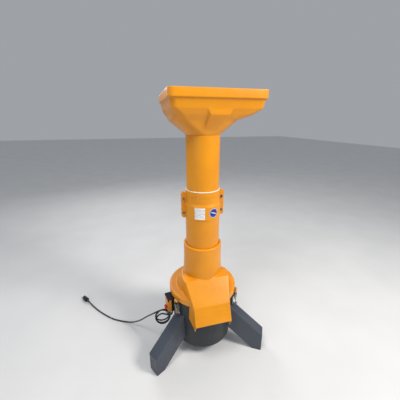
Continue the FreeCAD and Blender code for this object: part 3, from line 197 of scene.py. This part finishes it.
def printed_label():
    """White film with grey print: rows of short bars between margins, no lettering."""
    made, tree, body, place = shader("label_white")
    low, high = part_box("rating_plate")
    split = tree.nodes.new("ShaderNodeSeparateXYZ")
    tree.links.new(place, split.inputs[0])
    side, up = split.outputs["X"], split.outputs["Z"]
    height = high.z - low.z
    row = math_node(tree, "MULTIPLY", math_node(tree, "SUBTRACT", up, low.z), 9 / height)
    in_row = math_node(tree, "FRACT", row, 0)
    bar = math_node(tree, "MULTIPLY", math_node(tree, "GREATER_THAN", in_row, 0.34),
                    math_node(tree, "LESS_THAN", in_row, 0.68))
    word = tree.nodes.new("ShaderNodeTexWhiteNoise")
    word.noise_dimensions = "2D"
    cell = tree.nodes.new("ShaderNodeCombineXYZ")
    column = math_node(tree, "FLOOR", math_node(tree, "MULTIPLY", side, 420), 0)
    tree.links.new(column, cell.inputs[0])
    tree.links.new(math_node(tree, "FLOOR", row, 0), cell.inputs[1])
    tree.links.new(cell.outputs[0], word.inputs["Vector"])
    letter = math_node(tree, "GREATER_THAN", word.outputs["Value"], 0.42)
    inside = math_node(tree, "MULTIPLY",
                       math_node(tree, "GREATER_THAN", up, low.z + 0.08 * height),
                       math_node(tree, "LESS_THAN", up, high.z - 0.10 * height))
    mark = math_node(tree, "MULTIPLY", math_node(tree, "MULTIPLY", bar, letter), inside)
    tree.links.new(ramp(tree, mark, [(0.0, (0.84, 0.84, 0.82)), (1.0, (0.36, 0.37, 0.40))]),
                   body.inputs["Base Color"])
    fine = noise(tree, place, 900, 2)
    tree.links.new(ramp(tree, fine, [(0.3, grey(0.28)), (0.7, grey(0.4))]),
                   body.inputs["Roughness"])
    bump(tree, body, [(fine, 0.00004, 0.3)])
    return made


def printed_badge():
    """Blue disc with a pale rim and one pale slanting stripe."""
    made, tree, body, place = shader("label_blue")
    low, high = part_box("round_badge")
    middle = (low + high) / 2
    out = Vector((middle.x, middle.y - AXIS_Y, 0)).normalized()
    along = Vector((-out.y, out.x, 0))
    shift = tree.nodes.new("ShaderNodeVectorMath")
    shift.operation = "SUBTRACT"
    tree.links.new(place, shift.inputs[0])
    shift.inputs[1].default_value = middle
    offsets = []
    for axis in (along, Vector((0, 0, 1))):
        dot = tree.nodes.new("ShaderNodeVectorMath")
        dot.operation = "DOT_PRODUCT"
        tree.links.new(shift.outputs[0], dot.inputs[0])
        dot.inputs[1].default_value = axis
        offsets.append(dot.outputs["Value"])
    square = math_node(tree, "ADD", math_node(tree, "MULTIPLY", offsets[0], offsets[0]),
                       math_node(tree, "MULTIPLY", offsets[1], offsets[1]))
    reach = math_node(tree, "SQRT", square, 0)
    rim = math_node(tree, "MULTIPLY", math_node(tree, "GREATER_THAN", reach, 0.0208),
                    math_node(tree, "LESS_THAN", reach, 0.0232))
    slant = math_node(tree, "ADD", math_node(tree, "MULTIPLY", offsets[0], 0.42), offsets[1])
    near = math_node(tree, "LESS_THAN", math_node(tree, "ABSOLUTE", slant, 0), 0.0026)
    short = math_node(tree, "LESS_THAN", reach, 0.0150)
    stripe = math_node(tree, "MULTIPLY", near, short)
    mark = math_node(tree, "MAXIMUM", rim, stripe)
    tree.links.new(ramp(tree, mark, [(0.0, (0.012, 0.020, 0.235)), (1.0, (0.62, 0.66, 0.80))]),
                   body.inputs["Base Color"])
    fine = noise(tree, place, 900, 2)
    tree.links.new(ramp(tree, fine, [(0.3, grey(0.24)), (0.7, grey(0.36))]),
                   body.inputs["Roughness"])
    bump(tree, body, [(fine, 0.00004, 0.3)])
    return made


FINISHES = {
    "orange_plastic": ORANGE, "black_plastic": CHARCOAL, "white_seal": SEAL,
    "seal_rubber": GASKET, "zinc_steel": ZINC, "stainless": STEEL, "cast_alloy": CAST,
    "core_steel": CORE, "label_white": printed_label(), "label_blue": printed_badge(),
    "flap_plastic": FLAP, "red_plastic": RED, "green_plastic": GREEN, "cord_rubber": CORD,
    "plug_brass": BRASS,
}


def finish_with(piece, material):
    piece.data.materials.clear()
    piece.data.materials.append(material)


for node in NODES.values():
    slot_names = [s.material.name for s in node.material_slots if s.material]
    known = [FINISHES[n.split(".")[0]] for n in slot_names if n.split(".")[0] in FINISHES]
    finish_with(node, known[0] if known else CHARCOAL)
# the legs take the copy of the black plastic with painted light in its colour
for leg_name in LEGS:
    finish_with(NODES[f"leg_{leg_name}"], LIT_LEG_PLASTIC)
finish_with(NODES["switch_box"], SWITCH)


# ---------------------------------------------------------------- mouldings
def baked(piece):
    """The piece's mesh with its modifiers applied."""
    scene.collection.objects.link(piece)
    depsgraph = bpy.context.evaluated_depsgraph_get()
    mesh = bpy.data.meshes.new_from_object(piece.evaluated_get(depsgraph))
    scene.collection.objects.unlink(piece)
    bpy.data.objects.remove(piece)
    return mesh


def softened(name, sources, voxel, rounds, firm, joint=None):
    """One moulding from CAD nodes, its corners worn round except where firm(place) says so.

    Faces lying on the level called joint are dropped, so that stacked nodes run into one.
    """
    build = bmesh.new()
    for source in sources:
        part = NODES[source].data.copy()
        part.transform(NODES[source].matrix_world)
        build.from_mesh(part)
        bpy.data.meshes.remove(part)
    if joint is not None:
        inner = [f for f in build.faces if all(abs(v.co.z - joint) < 0.00002 for v in f.verts)]
        bmesh.ops.delete(build, geom=inner, context="FACES")
    raw = bpy.data.meshes.new(name + "_raw")
    build.to_mesh(raw)
    build.free()
    block = bpy.data.objects.new(name + "_raw", raw)
    remesh = block.modifiers.new("Remesh", "REMESH")
    remesh.mode = "VOXEL"
    remesh.voxel_size = voxel
    even = bpy.data.objects.new(name + "_even", baked(block))
    group = even.vertex_groups.new(name="soft")
    group.add([v.index for v in even.data.vertices if not firm(v.co)], 1.0, "REPLACE")
    smooth = even.modifiers.new("Smooth", "SMOOTH")
    smooth.factor = 0.5
    smooth.iterations = rounds
    smooth.vertex_group = "soft"
    thin = even.modifiers.new("Thin", "DECIMATE")
    thin.ratio = min(1.0, MOULDING_FACES / max(1, len(even.data.polygons) * 2))
    made = bpy.data.objects.new(name, baked(even))
    made.data.name = name
    for face in made.data.polygons:
        face.use_smooth = True
    scene.collection.objects.link(made)
    finish_with(made, ORANGE)
    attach(made, "machine")
    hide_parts(*sources)


coarse = 1.0
cover_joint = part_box("cover_sleeve")[0].z
cover_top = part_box("cover_sleeve")[1].z
skirt_level = 0.356                    # below it the chute's thin lip keeps its edge
softened("cover_moulding", ["mill_cover", "cover_sleeve"], COVER_VOXEL * coarse, COVER_ROUNDS,
         lambda v: v.z > cover_top - 0.004 or v.z < skirt_level, cover_joint)
hopper_low, hopper_high = (corner.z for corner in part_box("hopper"))
softened("hopper_moulding", ["hopper"], HOPPER_VOXEL * coarse, HOPPER_ROUNDS,
         lambda v: v.z > hopper_high - 0.006 or v.z < hopper_low + 0.01)


def domed_knob():
    """Mushroom stop knob turned about the switch's own axis, inside its CAD size."""
    low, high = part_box("stop_knob")
    radius = (high.z - low.z) / 2
    length = ((high.x - low.x) - 2 * radius * math.sin(SWITCH_TURN)) / math.cos(SWITCH_TURN)
    # share of the radius, then share of the length from the stem to the crown
    profile = [(0.62, 0.0), (0.66, 0.18), (0.82, 0.30), (0.97, 0.40), (1.0, 0.52), (0.985, 0.66),
               (0.93, 0.80), (0.80, 0.91), (0.60, 0.97), (0.32, 0.995)]
    build = bmesh.new()
    steps = 40
    rings = []
    for share, along in profile:
        rings.append([build.verts.new((-(along - 0.5) * length,
                                       share * radius * math.cos(math.tau * k / steps),
                                       share * radius * math.sin(math.tau * k / steps)))
                      for k in range(steps)])
    for lower, upper in zip(rings, rings[1:]):
        for k in range(steps):
            n = (k + 1) % steps
            build.faces.new((lower[k], lower[n], upper[n], upper[k]))
    build.faces.new(rings[0][::-1])
    build.faces.new(rings[-1])
    bmesh.ops.recalc_face_normals(build, faces=build.faces)
    mesh = bpy.data.meshes.new("knob_dome")
    build.to_mesh(mesh)
    build.free()
    for face in mesh.polygons:
        face.use_smooth = True
    made = bpy.data.objects.new("knob_dome", mesh)
    middle = (low + high) / 2
    mesh.transform(Matrix.Translation(middle) @ Matrix.Rotation(SWITCH_TURN, 4, "Z"))
    scene.collection.objects.link(made)
    finish_with(made, RED)
    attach(made, "knob")
    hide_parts("stop_knob")


domed_knob()


# ---------------------------------------------------------------- lead
def spline_piece(name, points, radius, material, closed=False):
    """A round cord along one NURBS spline, from control points in metres."""
    curve = bpy.data.curves.new(name, "CURVE")
    curve.dimensions = "3D"
    curve.bevel_depth = radius
    curve.bevel_resolution = 5
    curve.resolution_u = 10
    curve.use_fill_caps = True
    spline = curve.splines.new("NURBS")
    spline.points.add(len(points) - 1)
    for point, spot in zip(spline.points, points):
        point.co = (*spot, 1)
    spline.order_u = 3
    spline.use_cyclic_u = closed
    spline.use_endpoint_u = not closed
    piece = bpy.data.objects.new(name, curve)
    scene.collection.objects.link(piece)
    curve.materials.append(material)
    return piece


def tube_frame(points):
    """Millimetres about the tube axis, as metres in the row frame."""
    return [(x / 1000, y / 1000 + AXIS_Y, z / 1000) for x, y, z in points]


LEAD_IN = [
    (-179.76, -28.47, 230), (-180.1, -28.2, 218), (-185, -26, 206), (-195, -20, 198.5),
    (-208, -13, 196.5), (-221, -6, 197.5)]
# hank turns: angle from the bottom, then middle x and z, half width, half height and y
TURNS = [
    (180, -234, 167, 35, 31, 0), (360, -233, 170, 38, 34, -3), (540, -233, 187, 42, 44, -7),
    (720, -232, 201, 39, 38, -11), (900, -232, 201, 39, 38, -14), (1080, -233, 187, 42, 44, -18),
    (1260, -233, 206, 39, 40, -22)]


def hank_point(angle):
    """A point of the hank, between the two turn rows its angle lies between."""
    for first, last in zip(TURNS, TURNS[1:]):
        if angle <= last[0]:
            break
    share = (angle - first[0]) / (last[0] - first[0])
    x, z, wide, high, y = [a + (b - a) * share for a, b in zip(first[1:], last[1:])]
    turn = math.radians(angle)
    return (x + wide * math.sin(turn), y, z - high * math.cos(turn))


HANK = [hank_point(180 + 24 * k) for k in range(46)]
RUN = [
    (-256, -25, 244), (-274, -21, 234), (-290, -8, 215), (-308, 24, 180), (-345, 82, 108),
    (-385, 130, 48), (-428, 172, 11), (-480, 202, 4.2), (-541, 236, 4.2), (-597, 288, 4.2),
    (-648, 342, 4.2), (-690, 396, 7.0), (-722, 437, 14.2)]
lead_points = tube_frame(LEAD_IN + HANK + RUN)
lead = spline_piece("lead", lead_points, LEAD_RADIUS, CORD)
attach(lead, "machine")
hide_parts("mains_cord", "cord_hank")

TIE = [
    (-214.5, -30, 228), (-214.5, -10, 228), (-210, 3, 228), (-200, 4, 228), (-194, -5, 228),
    (-193.5, -25, 228), (-197, -36, 228), (-209, -38, 228)]
tie = spline_piece("cord_tie", tube_frame(TIE), TIE_RADIUS, GASKET, closed=True)
tie.data.bevel_resolution = 3
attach(tie, "machine")


# ---------------------------------------------------------------- floor and light
floor_mesh = bpy.data.meshes.new("Floor")
floor_build = bmesh.new()
bmesh.ops.create_grid(floor_build, x_segments=1, y_segments=1, size=12)
floor_build.to_mesh(floor_mesh)
floor_build.free()
floor = bpy.data.objects.new("Floor", floor_mesh)
scene.collection.objects.link(floor)
floor.location = (0, 6, -0.0002)
floor_finish, floor_tree, floor_body, floor_place = shader("floor")
floor_spots = noise(floor_tree, floor_place, 3, 2)
floor_tree.links.new(ramp(floor_tree, floor_spots, [(0.3, grey(0.70)), (0.7, grey(0.74))]),
                     floor_body.inputs["Base Color"])
floor_body.inputs["Roughness"].default_value = 0.85
finish_with(floor, floor_finish)


def area_light(name, power, size, place, target, colour):
    data = bpy.data.lights.new(name, "AREA")
    data.energy = power
    data.shape = "DISK"
    data.size = size
    data.color = colour
    made = bpy.data.objects.new(name, data)
    made.location = place
    made.rotation_mode = "QUATERNION"
    aim = Vector(target) - Vector(place)
    made.rotation_quaternion = aim.to_track_quat("-Z", "Y")
    scene.collection.objects.link(made)


# name, power, size, place, target and colour
LIGHTS = [
    ("KeyLight", 70, 0.9, (1.7, -1.5, 2.5), (0, 0, 0.7), (1.0, 0.97, 0.92)),
    ("FillLight", 9, 2.4, (-2.4, -1.6, 1.6), (0, 0, 0.6), (0.93, 0.96, 1.0)),
    ("BackLight", 26, 1.4, (-0.8, 2.6, 2.4), (0, 0, 0.8), (1, 1, 1)),
    ("TopLight", 20, 0.7, (-0.7, -0.8, 2.7), (0, 0, 0.4), (1, 1, 1))]
for row in LIGHTS:
    area_light(*row)
world = bpy.data.worlds.new("World")
world.use_nodes = True
world.node_tree.nodes["Background"].inputs["Color"].default_value = (0.86, 0.90, 0.96, 1)
world.node_tree.nodes["Background"].inputs["Strength"].default_value = 0.40
scene.world = world
scene.view_settings.view_transform = "Standard"
